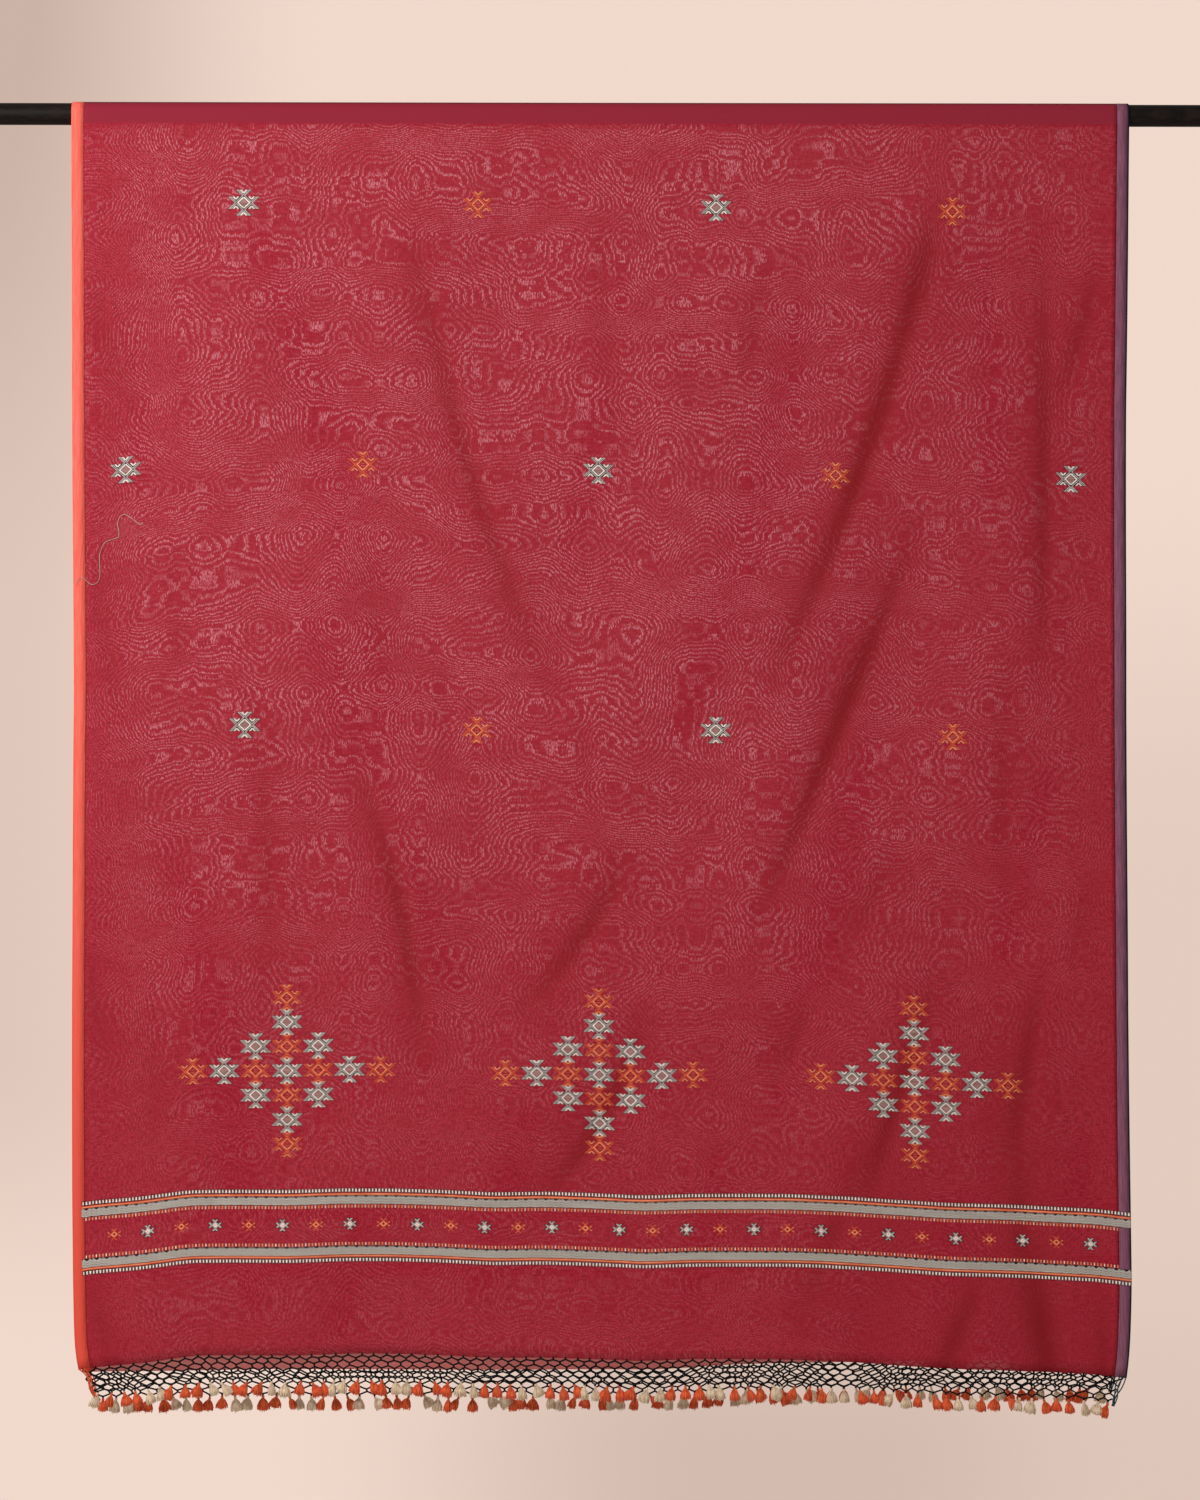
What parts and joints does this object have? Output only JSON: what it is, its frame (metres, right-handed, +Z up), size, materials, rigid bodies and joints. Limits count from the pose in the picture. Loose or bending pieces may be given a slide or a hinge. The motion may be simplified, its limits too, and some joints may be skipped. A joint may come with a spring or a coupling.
{
  "type": "dupatta stole on a rod",
  "caption": "Semi-sheer crimson handwoven stole folded over a round black rod, with woven stars, border bands, two-colour selvedges and a knotted net fringe with tassels.",
  "frame": {"origin": "the middle of the rod's axis, inside the turn of the cloth", "axes": "+X along the rod towards the purple selvedge, +Z up, -Y towards the front of the stole"},
  "size_m": [1.12, 0.0266, 1.1504],
  "materials": {
    "rod_black": "satin black lacquer on a steel tube",
    "ground": "semi-sheer crimson plain weave",
    "orange_thread": "coral-orange warp stripe and extra weft",
    "purple_thread": "plum warp stripe",
    "border_thread": "cream, grey and black extra weft",
    "net_cord": "knotted black cotton cord",
    "tassel_thread": "rust-orange and cream cotton tassels"
  },
  "bodies": {
    "root": {"rod": "rod_black", "front_field": "ground", "turn_field": "ground", "back_field": "ground", "front_orange_selvedge": "orange_thread", "turn_orange_selvedge": "orange_thread", "back_orange_selvedge": "orange_thread", "front_purple_selvedge": "purple_thread", "turn_purple_selvedge": "purple_thread", "back_purple_selvedge": "purple_thread", "front_upper_border": "border_thread", "front_lower_border": "border_thread", "back_upper_border": "border_thread", "back_lower_border": "border_thread", "front_net": "net_cord", "back_net": "net_cord", "front_tassels": "tassel_thread", "back_tassels": "tassel_thread"}
  },
  "joints": []
}
